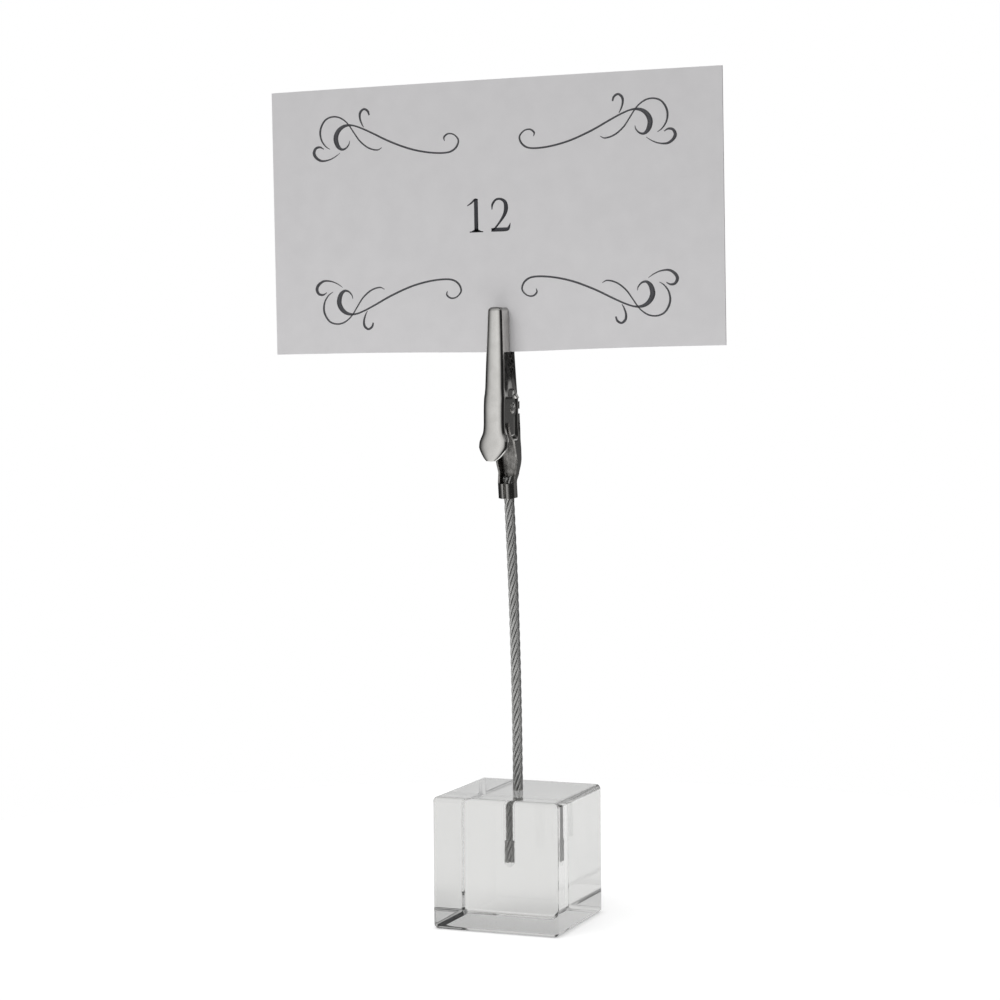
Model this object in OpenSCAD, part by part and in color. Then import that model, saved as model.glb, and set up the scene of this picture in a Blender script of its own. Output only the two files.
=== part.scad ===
// Place card holder: a clear cube, a stiff wire-rope stem glued into it, and an
// alligator clip crimped on top that grips a card.
// Millimetres. The origin is the centre of the cube's bottom face, +Z is up and
// the front of the card faces -Y.

/* [Base cube] */
// Side of the clear cube
block_side = 25; // [18:0.5:40]
// Rounding of the cube's edges
block_edge_r = 1; // [0.3:0.1:2.5]
// Depth of the hole that the stem is glued in, without its drill point
bore_depth = 13.4; // [8:0.1:15]
// Room for glue between the rope and the wall of the hole
glue_room = 0.14; // [0.05:0.01:0.4]
// Glue under the end of the rope
glue_foot = 0.4; // [0.1:0.1:2]
// How deep the glue stands in the hole. Above it there is air round the rope.
glue_depth = 4.6; // [2:0.1:7]

/* [Stem] */
// Radius of the rope's core wire
core_wire_r = 0.35; // [0.25:0.01:0.5]
// Radius of each of the six outer wires
outer_wire_r = 0.3; // [0.2:0.01:0.4]
// Length of stem in which an outer wire goes once round
lay_length = 11; // [8:0.5:20]
// Height from the cube's top to the foot of the clip
stem_rise = 55.8; // [30:0.1:120]
// Forward lean that the stem has gained where it meets the clip, in degrees
stem_lean = 7; // [2:0.5:12]
// Length of rope inside the clip's crimp and tail
stem_in_clip = 3.8; // [3.2:0.1:5]

/* [Clip] */
// Thickness of the clip's sheet steel
sheet = 0.36; // [0.28:0.01:0.42]
// Distance from the stem's axis at the clip's foot to the card's plane
grip_reach = 3.1; // [2.7:0.05:3.6]
// Pivot to the tip of the jaws
jaw_len = 18.7; // [14:0.1:28]
// Pivot to the end of the thumb lever
lever_len = 9.65; // [8:0.05:12]
// Pivot to the foot of the crimp
tail_len = 16.7; // [15:0.1:24]
// Width over each jaw at its nose
tip_w = 3; // [2:0.1:3.4]
// Width over each jaw just above its ears
root_w = 3.9; // [3:0.1:4]
// Width over the front jaw's ears, which go outside the rear jaw's
ear_w = 4.2; // [4:0.1:5]
// Radius of the ears about the pivot
ear_r = 1.75; // [1.4:0.05:2]
// Depth of the front jaw at its nose, from the card's plane to its crest
front_tip_depth = 3.75; // [3:0.05:4.2]
// Depth of the front jaw at the pivot
front_root_depth = 4.85; // [4.4:0.05:5.4]
// Depth of the rear jaw at its nose
rear_tip_depth = 2.1; // [2:0.05:3.2]
// Depth of the rear jaw at the pivot
rear_root_depth = 4.3; // [3.9:0.05:4.6]
// Width of the thumb lever's paddle
paddle_w = 5.7; // [4.8:0.1:8]
// How far the lever's end stands out past the jaw's crest
lever_flare = 1.36; // [0.6:0.02:2]
// Depth of the rim round the thumb lever
rim_depth = 1.25; // [0.9:0.05:1.5]
// Width over the rear jaw's tail
tail_w = 4.4; // [4.2:0.1:5]
// Depth of the tail from the card's plane to its back
tail_depth = 4.9; // [4.6:0.05:5.4]
// Rounding of the sheet's long bends, on the outside
bend_r = 0.8; // [0.5:0.05:0.9]
// Rounding of the jaws' noses
nose_r = 0.8; // [0.5:0.05:0.9]
// Running gap between the front and the rear jaw's ears
ear_gap = 0.05; // [0.03:0.01:0.1]

/* [Teeth] */
// Distance from one tooth to the next
tooth_pitch = 1.6; // [1:0.1:2.4]
// Height of the teeth
tooth_height = 0.7; // [0.3:0.05:1]
// Number of teeth cut along each edge
tooth_count = 7; // [3:1:8]

/* [Pivot and spring] */
// Radius of the rivet
rivet_r = 0.6; // [0.45:0.01:0.7]
// Running gap between the rivet and the front jaw's holes
rivet_gap = 0.04; // [0.02:0.01:0.08]
// Radius of the rivet's heads
rivet_head_r = 1.05; // [0.8:0.05:1.3]
// Height of the rivet's heads
rivet_head_h = 0.38; // [0.2:0.02:0.6]
// Radius of the spring's wire
spring_wire_r = 0.17; // [0.12:0.01:0.18]
// Gap between the spring's curls
spring_gap = 0.43; // [0.42:0.01:0.5]
// Gap between the spring's curls and the rivet
spring_room = 0.18; // [0.08:0.01:0.25]

/* [Crimp] */
// Length of the crimp
crimp_len = 2.8; // [2:0.1:3.2]
// Radius of the crimp
crimp_r = 1.8; // [1.5:0.01:1.9]

/* [Card] */
// Width of the card
card_w = 90; // [60:1:120]
// Height of the card
card_h = 50; // [30:1:80]
// Thickness of the card
card_t = 0.3; // [0.15:0.05:0.5]
// How deep the jaws hold the card
grip_depth = 7.9; // [4:0.1:12]
// How far the card sits left of the stem
card_shift = 1.79; // [0:0.01:5]
// Roll of the card in the jaws, right end up, in degrees
card_roll = 0.63; // [-2:0.01:2]

/* [Hidden] */

// Small gaps and overruns
snug = 0.02;
cut_over = 1;

// Rope: six wires lie round the core, as close as their slant lets them
outer_wires = 6;
half_pitch = sin(180 / outer_wires);
wire_room = outer_wire_r + snug / 2;
slant_room = sqrt(pow(half_pitch * lay_length, 2) - pow(2 * PI * wire_room, 2));
lay_r = max(core_wire_r + outer_wire_r + snug, wire_room * lay_length / slant_room);
rope_r = lay_r + outer_wire_r;
lay_angle = atan(2 * PI * lay_r / lay_length);
wire_tip = outer_wire_r * sin(lay_angle);
wire_rings_a_turn = 12;
wire_sides = 6;
arc_rings = 10;
core_sides = 12;

// Hole in the cube
bore_r = rope_r + glue_room;
drill_angle = 118;
drill_point = bore_r * tan(90 - drill_angle / 2);
stem_embed = bore_depth - glue_foot;

// The stem stands upright in the cube and bends forward in one even arc above it
arc_r = stem_rise / sin(stem_lean);
arc_len = arc_r * stem_lean * PI / 180;
stem_len = stem_embed + arc_len + stem_in_clip;
clip_foot = [0, -arc_r * (1 - cos(stem_lean)), block_side + stem_rise];

// The clip's own frame: the pivot is the origin, on the card's plane
grip_y = clip_foot[1] - grip_reach;
pivot_z = clip_foot[2] + tail_len;
edge_share = 0.6;
edge_gap = edge_share * card_t;
ear_foot_share = 1.54;
ear_foot = ear_foot_share * ear_r;
ear_top_share = 1.4;
knee_share = 0.41;
knee = knee_share * lever_len;
crown_share = 0.3;
crown = crown_share * bend_r;
bend_step = 30;
ear_step = 20;
rear_ear_w = ear_w - 2 * (sheet + ear_gap);
crest_power = 0.55;
side_power = 1.3;
flare_power = 1.5;

// The tail opens to the front: its free edges leave the ears and run back to this distance
tail_edge_share = 0.4;
tail_open_share = 0.587;
// The rope lies against the crimp's back, so the crimp's axis is this much in front of it
crimp_set = crimp_r - sheet - rope_r - snug;
lip_share = 0.9;

// Rim of the thumb lever: share of the way down it, share of its width, share of its rim
lever_shares = [[1, 0.33, 0.6], [0.93, 0.53, 0.75], [0.83, 0.73, 0.9], [0.72, 0.91, 1],
                [0.62, 1, 1], [0.52, 1, 1], [0.4, 0.92, 1.05], [0.25, 0.79, 1.1], [0.1, 0.75, 1.3]];
// Tail above the crimp: share of the way up, share of its width, share of its depth
tail_shares = [[0.16, 0.84, 0.95], [0.33, 0.96, 1], [0.39, 1, 1], [0.55, 1, 0.98], [0.7, 0.99, 0.93]];
neck_share = 0.8;
// Flanks of a section: share of the way from the free edge to the bend, and the set-in in sheets
flank_shares = [0.35, 0.7];
set_in_shares = [0.6, 1.8];
bend_share = 0.6;
round_share = 0.96;
// Slots across the back of the rear jaw: share of the ear's radius up, height in sheets
slot_shares = [[0.87, 1.8], [-0.35, 2.5]];
slot_depth_share = 3.3;
// Straight part of the jaws, from the ears to the nose
jaw_shares = [0, 0.33, 0.66];
jaw_foot_share = 2.5;
nose_share = 0.8;
notch_share = 0.45;
// Nose: share of its rounding, and whether the section there is solid
nose_shares = [[0, false], [0.35, false], [0.55, false],
               [0.57, true], [0.8, true], [0.94, true], [1, true]];

// Spring: its legs leave the curls as tangents and end just inside the lever and the tail
curl_r = rivet_r + spring_room + spring_wire_r;
curl_pitch = 2 * spring_wire_r + spring_gap;
leg_share = 0.62;
leg_h = leg_share * lever_len;
leg_clear = spring_wire_r + crown;
curl_rings = 8;
spring_sides = 6;
full_curls = 2;
front_leg_end = [lever_crest(-leg_h) - sheet - leg_clear, -leg_h];
rear_leg_end = [-(rear_root_depth - sheet - leg_clear), -leg_h];
first_angle = tangent_angle(front_leg_end, 1);
last_angle = tangent_angle(rear_leg_end, -1) + 360 * (full_curls + 1);
curl_steps = round((last_angle - first_angle) / 360 * curl_rings);
curl_span = (last_angle - first_angle) / 360 * curl_pitch;
spring_path = concat(
    [[-curl_span / 2, front_leg_end[0], front_leg_end[1]]],
    [for (k = [0 : curl_steps])
        curl_point(blend(first_angle, last_angle, k / curl_steps), curl_span * (k / curl_steps - 0.5))],
    [[curl_span / 2, rear_leg_end[0], rear_leg_end[1]]]);
spring_self_gap = min([for (i = [0 : len(spring_path) - 1], j = [0 : len(spring_path) - 1])
                          if (j - i > curl_rings / 2) norm(spring_path[i] - spring_path[j])])
                  - 2 * spring_wire_r;

// Lifts v to a unit vector
function unit(v) = v / norm(v);

// Linear blend from a to b
function blend(a, b, share) = a + (b - a) * share;

// Turn of the stem at length s from its lower end, in degrees
function stem_turn(s) = min(stem_lean, max(0, s - stem_embed) / arc_r * 180 / PI);

// Point on the stem's axis at length s
function stem_point(s) =
    let (a = stem_turn(s), past = max(0, s - stem_embed - arc_len), low = min(s, stem_embed))
    [0, -arc_r * (1 - cos(a)) - past * sin(stem_lean),
     block_side - stem_embed + low + arc_r * sin(a) + past * cos(stem_lean)];

// Direction out from the stem's axis at length s and angle phi round it
function stem_out(s, phi) = let (a = stem_turn(s)) [cos(phi), sin(phi) * cos(a), sin(phi) * sin(a)];

// Direction along the stem's axis at length s
function stem_along(s) = let (a = stem_turn(s)) [0, -sin(a), cos(a)];

// One ring of points round p, square to direction t, starting at direction out
function ring(p, t, out, r, sides) =
    let (u = unit(out - (out * t) * t), v = cross(t, u))
    [for (i = [0 : sides - 1]) p + r * (cos(360 * i / sides) * u + sin(360 * i / sides) * v)];

// Solid through rings of equal length, each listed clockwise from its far end
module skin(rings, clockwise_caps) {
    n = len(rings[0]);
    last = len(rings) - 1;
    walls = [for (k = [0 : last - 1], i = [0 : n - 1])
                let (a = k * n + i, b = k * n + (i + 1) % n)
                each [[a, b, b + n], [a, b + n, a + n]]];
    caps = clockwise_caps
        ? [for (i = [0 : n / 2 - 2])
              let (a = i, b = i + 1, c = n - 2 - i, d = n - 1 - i,
                   cap = i < n / 4 ? [[a, b, d], [b, c, d]] : [[a, b, c], [a, c, d]])
              for (t = cap) each [[t[2], t[1], t[0]], t + last * [n, n, n]]]
        : [for (i = [1 : n - 2]) each [[0, i + 1, i], [last * n, last * n + i, last * n + i + 1]]];
    polyhedron(points = [for (r = rings) each r], faces = concat(walls, caps), convexity = 8);
}

// Round wire through points, with the first corner of each ring to the right
module wire(points, r, sides) {
    last = len(points) - 1;
    ahead = [for (i = [0 : last]) unit(points[min(i + 1, last)] - points[max(i - 1, 0)])];
    skin([for (i = [0 : last])
             [for (j = [sides - 1 : -1 : 0]) ring(points[i], ahead[i], [1, 0, 0], r, sides)[j]]], false);
}

// Square with rounded corners, centred, for one side of the cube
module rounded_square(side, r) {
    inset = side / 2 - r;
    square([side, side - 2 * r], center = true);
    square([side - 2 * r, side], center = true);
    for (x = [-inset, inset], y = [-inset, inset]) translate([x, y]) circle(r, $fn = 48);
}

// Cube of clear acrylic, all edges rounded, with a drilled blind hole for the stem
module base_cube() {
    half = block_side / 2;
    color([0.86, 0.88, 0.87, 0.45])
    difference() {
        translate([0, 0, half])
        intersection() {
            translate([0, 0, -half]) linear_extrude(block_side) rounded_square(block_side, block_edge_r);
            rotate([90, 0, 0]) translate([0, 0, -half])
                linear_extrude(block_side) rounded_square(block_side, block_edge_r);
            rotate([0, 90, 0]) translate([0, 0, -half])
                linear_extrude(block_side) rounded_square(block_side, block_edge_r);
        }
        translate([0, 0, block_side - bore_depth]) bore(bore_r, bore_depth + cut_over);
    }
}

// Straight hole with the cone that a drill leaves at its end
module bore(r, depth) {
    cylinder(r = r, h = depth, $fn = 48);
    translate([0, 0, -drill_point]) cylinder(r1 = 0, r2 = r, h = drill_point, $fn = 48);
}

// Glue in the foot of the hole, round the end of the rope
module bore_adhesive() {
    color([0.8, 0.8, 0.76, 0.6])
    difference() {
        translate([0, 0, block_side - bore_depth]) bore(bore_r - snug / 2, glue_depth);
        translate([0, 0, block_side - stem_embed - wire_tip - snug])
            cylinder(r = rope_r + snug / 2, h = block_side, $fn = 48);
    }
}

// Core wire: upright in the cube, one even arc, then straight in the crimp
module stem_core_wire() {
    stops = concat([0], [for (k = [0 : arc_rings]) stem_embed + arc_len * k / arc_rings], [stem_len]);
    color([0.6, 0.6, 0.6])
    wire([for (s = stops) stem_point(s)], core_wire_r, core_sides);
}

// Outer wire number i, laid round the core in a right-hand helix
module stem_outer_wire(i) {
    steps = ceil(stem_len * wire_rings_a_turn / lay_length);
    turn = 360 / lay_length;
    rings = [for (k = [0 : steps])
                let (s = stem_len * k / steps, phi = 360 * i / outer_wires + turn * s,
                     out = stem_out(s, phi), round_it = stem_out(s, phi + 90),
                     t = unit(stem_along(s) + round_it * lay_r * turn * PI / 180),
                     loop = ring(stem_point(s) + lay_r * out, t, out, outer_wire_r, wire_sides))
                [for (j = [wire_sides - 1 : -1 : 0]) loop[j]]];
    color([0.62, 0.62, 0.62]) skin(rings, false);
}

// Crest of a jaw at height h above the pivot, its distance from the card's plane. depths are
// its depth at the pivot and at the nose.
function jaw_crest(h, depths) = blend(depths[0], depths[1], pow(max(h, 0) / jaw_len, crest_power));

// Crest of the thumb lever, which swings out past its knee
function lever_crest(h) =
    front_root_depth + lever_flare * pow(max(-h - knee, 0) / (lever_len - knee), flare_power);

// Half width of the jaws at height h, from the ears to the nose
function jaw_half(h) =
    let (low = ear_r + sheet, share = (h - low) / (jaw_len - low))
    blend(root_w, tip_w, pow(max(share, 0), side_power)) / 2;

// Right half of a bent sheet's section, from the middle of its crest to its free edge:
// d is the crest's distance from the card's plane, w and we half the width at the crest
// and at the free edge, e the edge's distance, y0 and y1 the ends of the set-in, r the bend
// and rise how far the crest is domed
function half_section(d, w, we, e, y0, y1, r, rise) =
    concat([[0, d], [(w - r) / 2, d - rise / 4]],
           [for (a = [90 : -bend_step : 0]) [w - r + r * cos(a), d - rise - r + r * sin(a)]],
           [[w, y1], [we, y0], [we, e]]);

// Both halves, from the left free edge to the right one
function both_halves(half) =
    concat([for (i = [len(half) - 1 : -1 : 1]) [-half[i][0], half[i][1]]], half);

// Section of the sheet at height h. Past the end of the hollow it is solid.
function section(h, d, w, we, e, y0, y1, r, rise, solid = false) =
    let (outer = both_halves(half_section(d, w, we, e, y0, y1, r, rise)),
         inner_r = max(r - sheet, snug),
         inner = both_halves(half_section(d - sheet, w - sheet, we - sheet, e, y0, y1, inner_r, rise)),
         last = len(inner) - 1,
         floor_pts = [for (i = [0 : last]) [bend_share * w * (2 * i / last - 1), e]],
         back = solid ? floor_pts : inner)
    [for (p = concat(outer, [for (i = [last : -1 : 0]) back[i]])) [p[0], p[1], h]];

// Point i on a straight flank between the free edge e and the foot of the bend
function flank(e, bend_foot, i) = blend(e, bend_foot, flank_shares[i]);

// A section with straight flanks
function plain(h, d, w, e, r, solid = false) =
    let (bend = min(r, bend_share * w, bend_share * (d - e)), rise = min(crown, (d - e) / 10))
    section(h, d, w, w, e, flank(e, d - rise - bend, 0), flank(e, d - rise - bend, 1), bend, rise, solid);

// A section of the rear jaw with its flanks set in, so that they go between the front jaw's ears
function set_in(h, d, w, e) =
    section(h, d, w, rear_ear_w / 2, e, ear_r + set_in_shares[0] * sheet, ear_r + set_in_shares[1] * sheet,
            bend_r, crown);

// Straight part and closed nose of a jaw
function jaw_sections(depths) =
    let (low = ear_r + jaw_foot_share * sheet, high = jaw_len - nose_r)
    concat([for (s = jaw_shares)
               let (h = blend(low, high, s))
               plain(h, jaw_crest(h, depths), jaw_half(h), edge_gap, bend_r)],
           [for (s = nose_shares)
               let (h = high + nose_r * s[0], shrink = nose_r * (1 - sqrt(1 - s[0] * s[0])))
               plain(h, jaw_crest(high, depths) - nose_share * shrink, jaw_half(high) - shrink,
                     edge_gap, bend_r, s[1])]);

// Row of V-shaped cuts along the free edges of a jaw, starting below its nose
module tooth_cuts(start) {
    low = edge_gap - cut_over;
    notch = notch_share * tooth_pitch;
    top = jaw_len - sheet - start;
    zigzag = [for (i = [0 : tooth_count - 1])
                 let (h = top - i * tooth_pitch)
                 each [[edge_gap, h + notch], [edge_gap + tooth_height, h], [edge_gap, h - notch]]];
    end = top - (tooth_count - 1) * tooth_pitch - notch;
    across(ear_w + cut_over)
        polygon(concat([[low, top + notch]], zigzag, [[low, end]]));
}

// Prism across the clip: the outline's x and y become its distance from the card's plane and its height
module across(w) {
    translate([-w / 2, 0, 0]) rotate([90, 0, 90]) linear_extrude(w) children();
}

// Hole across the clip at the pivot
module pivot_hole(r) {
    translate([-ear_w, 0, 0]) rotate([0, 90, 0]) cylinder(r = r, h = 2 * ear_w, $fn = 48);
}

// Puts what is drawn in the clip's own frame in its place
module in_clip() {
    translate([0, grip_y, pivot_z]) children();
}

// The same for what lies in front of the card's plane
module in_clip_front() {
    in_clip() mirror([0, 1, 0]) children();
}

// Front jaw: toothed channel with a rounded nose, ears outside the rear jaw's, and a thumb lever
module front_jaw() {
    half = ear_w / 2;
    depths = [front_root_depth, front_tip_depth];
    lever = [for (s = lever_shares)
                let (h = -blend(ear_foot, lever_len, s[0]), d = lever_crest(h))
                plain(h, d, paddle_w / 2 * s[1], d - rim_depth * s[2], bend_r)];
    ears = concat([plain(-ear_foot, depths[0], half, tail_edge_share * depths[0], bend_r)],
                  [for (a = [-60 : ear_step : 60])
                      let (h = ear_r * sin(a))
                      plain(h, jaw_crest(h, depths), half, -ear_r * cos(a), bend_r)],
                  [for (h = [ear_r, ear_r + ear_top_share * sheet])
                      plain(h, jaw_crest(h, depths), half, edge_gap, bend_r)]);
    color([0.8, 0.8, 0.78])
    in_clip_front()
    difference() {
        skin(concat(lever, ears, jaw_sections(depths)), true);
        tooth_cuts(tooth_pitch / 2);
        pivot_hole(rivet_r + rivet_gap);
    }
}

// Rear jaw: toothed channel, ears set in, open tail and crimp, all one bent sheet
module rear_jaw() {
    low = -(tail_len - crimp_len);
    high = -ear_foot;
    depth = rear_root_depth;
    crimp_mid = grip_reach - crimp_len * sin(stem_lean) - crimp_set;
    foot_edge = crimp_mid - crimp_r / 3;
    facet_room = crimp_r * (1 - cos(bend_step / 2));
    tail = concat([plain_round(low, crimp_mid + crimp_r + facet_room, crimp_r, foot_edge)],
                  [for (s = tail_shares)
                      let (h = blend(low, high, s[0]))
                      plain(h, tail_depth * s[2], tail_w / 2 * s[1], tail_edge(h), bend_r)],
                  [let (h = blend(low, high, neck_share))
                      set_in(h, blend(tail_depth, depth, neck_share), tail_w / 2, tail_edge(h))]);
    ears = concat([set_in(high, depth + sheet / 2, ear_w / 2, tail_edge(high))],
                  [for (a = [-30 : 1.5 * ear_step : 60])
                      set_in(ear_r * sin(a), depth, ear_w / 2, -ear_r * cos(a))],
                  [set_in(ear_r, depth, ear_w / 2, edge_gap)]);
    color([0.55, 0.55, 0.55])
    in_clip()
    difference() {
        union() {
            skin(concat(tail, ears, jaw_sections([depth, rear_tip_depth])), true);
            translate([0, clip_foot[1] - grip_y, -tail_len]) rotate([stem_lean, 0, 0]) crimp();
        }
        tooth_cuts(tooth_pitch);
        pivot_hole(rivet_r);
        for (s = slot_shares) back_slot(s[0] * ear_r, s[1] * sheet);
    }
}

// Distance of the tail's free edges from the card's plane at height h
function tail_edge(h) =
    let (ear_h = -ear_r / 2, ear_e = -ear_r * cos(30), open_h = -tail_open_share * tail_len)
    blend(ear_e, tail_edge_share * tail_depth, min(1, (ear_h - h) / (ear_h - open_h)));

// Half-round section where the tail meets the crimp
function plain_round(h, d, r, e) =
    section(h, d, r, r, e, flank(e, d - r, 0), flank(e, d - r, 1), round_share * r, 0);

// Slot across the back of the rear jaw, h above the pivot
module back_slot(h, height) {
    depth = slot_depth_share * sheet;
    translate([-ear_w, rear_root_depth - depth, h - height / 2]) cube([2 * ear_w, depth + cut_over, height]);
}

// Crimp: two wings rolled over the rope until they press it against the back
module crimp() {
    lip = lip_share * sheet;
    lip_low = crimp_set - rope_r - snug;
    translate([0, -crimp_set, 0])
    linear_extrude(crimp_len + sheet)
    difference() {
        union() {
            difference() {
                circle(crimp_r, $fn = 48);
                circle(crimp_r - sheet, $fn = 48);
            }
            for (x = [-1, 1])
                translate([x * (lip / 2 + snug), (lip_low - crimp_r + sheet / 2) / 2])
                square([lip, lip_low + crimp_r - sheet / 2], center = true);
        }
        translate([-snug, -crimp_r - cut_over]) square([2 * snug, crimp_r + cut_over]);
        translate([0, -crimp_r]) rotate(45) square(sheet, center = true);
    }
}

// Rivet: pressed into the rear jaw's ears, with a domed head outside each front ear
module pivot_rivet() {
    face = ear_w / 2 + snug;
    color([0.75, 0.75, 0.74])
    in_clip()
    rotate([0, 90, 0])
    rotate_extrude($fn = 48) {
        translate([0, -face]) square([rivet_r, 2 * face]);
        dome_outline(face);
        mirror([0, 1]) dome_outline(face);
    }
}

// Half outline of a rivet's head whose flat side is at height low
module dome_outline(low) {
    dome_r = (rivet_head_r * rivet_head_r + rivet_head_h * rivet_head_h) / (2 * rivet_head_h);
    intersection() {
        translate([0, low + rivet_head_h - dome_r]) circle(dome_r, $fn = 64);
        translate([0, low]) square([dome_r, rivet_head_h]);
    }
}

// Spring's path: up the front leg, round the curls and down the rear leg.
// Angle round the pivot at which a leg from p leaves the curls
function tangent_angle(p, side) = atan2(p[1], p[0]) + side * acos(curl_r / norm(p));

// Point of the curls: across, distance in front of the card's plane, height above the pivot
function curl_point(angle, x) = [x, curl_r * cos(angle), curl_r * sin(angle)];

// Torsion spring: curls round the rivet, one leg in the lever and one in the tail
module torsion_spring() {
    echo("Least gap of the spring to itself", spring_self_gap);
    color([0.7, 0.7, 0.7])
    in_clip_front()
    wire(spring_path, spring_wire_r, spring_sides);
}

// Card: a plain sheet, held between the teeth
module card() {
    low = pivot_z + jaw_len - grip_depth;
    color([0.93, 0.93, 0.93])
    translate([0, grip_y, low])
    rotate([0, -card_roll, 0])
    translate([-card_w / 2 - card_shift, -card_t / 2, 0]) cube([card_w, card_t, card_h]);
}

base_cube();
bore_adhesive();
stem_core_wire();
stem_outer_wire(0);  // stem_outer_wire_1
stem_outer_wire(1);  // stem_outer_wire_2
stem_outer_wire(2);  // stem_outer_wire_3
stem_outer_wire(3);  // stem_outer_wire_4
stem_outer_wire(4);  // stem_outer_wire_5
stem_outer_wire(5);  // stem_outer_wire_6
rear_jaw();
front_jaw();
pivot_rivet();
torsion_spring();
card();
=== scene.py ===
import math

import bmesh
import bpy
from mathutils import Matrix, Vector


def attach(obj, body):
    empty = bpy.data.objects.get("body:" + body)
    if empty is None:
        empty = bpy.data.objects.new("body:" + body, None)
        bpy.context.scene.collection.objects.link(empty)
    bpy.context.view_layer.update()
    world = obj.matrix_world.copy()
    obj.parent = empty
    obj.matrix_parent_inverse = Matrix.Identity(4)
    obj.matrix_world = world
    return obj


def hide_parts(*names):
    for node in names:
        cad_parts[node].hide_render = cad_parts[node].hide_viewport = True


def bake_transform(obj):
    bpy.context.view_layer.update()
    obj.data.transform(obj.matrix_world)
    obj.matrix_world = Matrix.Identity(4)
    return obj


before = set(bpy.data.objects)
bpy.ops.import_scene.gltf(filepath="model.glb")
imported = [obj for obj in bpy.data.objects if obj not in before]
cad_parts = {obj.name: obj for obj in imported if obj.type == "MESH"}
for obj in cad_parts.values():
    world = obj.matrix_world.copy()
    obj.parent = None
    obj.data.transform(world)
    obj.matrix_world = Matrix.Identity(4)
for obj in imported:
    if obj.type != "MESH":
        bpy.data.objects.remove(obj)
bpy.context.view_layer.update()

# Sizes in millimetres, the same as the part's source has
MM = 0.001
BLOCK_SIDE, BLOCK_EDGE_R, BORE_DEPTH, DRILL_ANGLE = 25.0, 1.0, 13.4, 118
CORE_R, OUTER_R, LAY_LENGTH, LAY_R = 0.35, 0.3, 11.0, 0.67
GLUE_ROOM, GLUE_FOOT, GLUE_DEPTH = 0.14, 0.4, 4.6
STEM_RISE, STEM_LEAN, STEM_IN_CLIP, GRIP_REACH = 55.8, math.radians(7), 3.8, 3.1
SHEET, SNUG = 0.36, 0.02
JAW_LEN, LEVER_LEN, TAIL_LEN = 18.7, 9.65, 16.7
TIP_W, ROOT_W, EAR_W, EAR_R = 3.0, 3.9, 4.2, 1.75
FRONT_TIP, FRONT_ROOT, REAR_TIP, REAR_ROOT = 3.75, 4.85, 2.1, 4.3
PADDLE_W, LEVER_FLARE, RIM_DEPTH = 5.7, 1.36, 1.25
TAIL_DEPTH, NOSE_R, EAR_GAP = 4.9, 0.8, 0.05
CREST_POWER, SIDE_POWER = 0.55, 1.3
TOOTH_PITCH, TOOTH_HEIGHT, TOOTH_COUNT, TOOTH_NOTCH = 1.6, 0.7, 7, 0.72
RIVET_R, RIVET_GAP, RIVET_HEAD_R, RIVET_HEAD_H = 0.6, 0.04, 1.05, 0.38
SPRING_R, SPRING_GAP, CURL_R, CROWN = 0.17, 0.43, 0.95, 0.24
CRIMP_LEN, CRIMP_R = 2.8, 1.8
CARD_W, CARD_H, CARD_T, CARD_SHIFT = 90.0, 50.0, 0.3, 1.79
CARD_ROLL, GRIP_DEPTH = math.radians(0.63), 7.9

# Sizes that follow from these
ROPE_R = LAY_R + OUTER_R
BORE_R = ROPE_R + GLUE_ROOM
DRILL_POINT = BORE_R * math.tan(math.radians(90 - DRILL_ANGLE / 2))
GLUE_TOP = BLOCK_SIDE - BORE_DEPTH + GLUE_DEPTH
STEM_EMBED = BORE_DEPTH - GLUE_FOOT
ARC_R = STEM_RISE / math.sin(STEM_LEAN)
ARC_LEN = ARC_R * STEM_LEAN
STEM_LEN = STEM_EMBED + ARC_LEN + STEM_IN_CLIP
FOOT_Y = -ARC_R * (1 - math.cos(STEM_LEAN))
FOOT_Z = BLOCK_SIDE + STEM_RISE
GRIP_Y = FOOT_Y - GRIP_REACH
PIVOT_Z = FOOT_Z + TAIL_LEN
CARD_LOW = PIVOT_Z + JAW_LEN - GRIP_DEPTH
EDGE_GAP = 0.6 * CARD_T
EAR_FOOT = 1.54 * EAR_R
KNEE = 0.41 * LEVER_LEN
REAR_EAR = EAR_W / 2 - SHEET - EAR_GAP

# Sizes that only the scene has: broken edges of the hole's mouth, the clip's sheet and the card
MOUTH_EDGE, SHEET_EDGE, CARD_EDGE = 0.04, 0.05, 0.04
# The glue's clearance in the hole, and the hollow of its top
GLUE_CLEAR, GLUE_DIP = 0.01, 0.05
# The jaws' long bends: height, and power of their curve
BEND_H, BEND_POWER = 1.1, 2.8
# The front jaw: where its crest starts to curve, and the height over which it widens to its ears
CREST_START, WIDENING_H = 0.6, 1.7
# Top of both jaws' necks, how far the front neck stands out, how far the tail is drawn in, and
# the height over which it is
NECK_TOP, NECK_SPREAD, TAIL_PINCH, PINCH_H = 3 * EAR_R, 0.26, 0.25, 2.1
# Radius to which the crimp's wings are rolled
WING_R = 0.42
# The card's bow and flat middle, and the dip of its lower edge with that dip's width and height
CARD_BOW, CARD_FLAT, CARD_DIP, DIP_W, DIP_H = 0.95, 6, 0.38, 18, 20
# How far the ink stands out of the card and reaches into it
INK_LIFT, INK_SINK = 0.012, 0.01


def blend(a, b, share):
    return a + (b - a) * share


def clamped(t):
    return min(1, max(0, t))


def eased(t):
    """Share from 0 to 1 with a soft start and end."""
    return t * t * (3 - 2 * t)


def turn_angles(count):
    """Angles of points spaced evenly round a circle."""
    return [2 * math.pi * k / count for k in range(count)]


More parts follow.
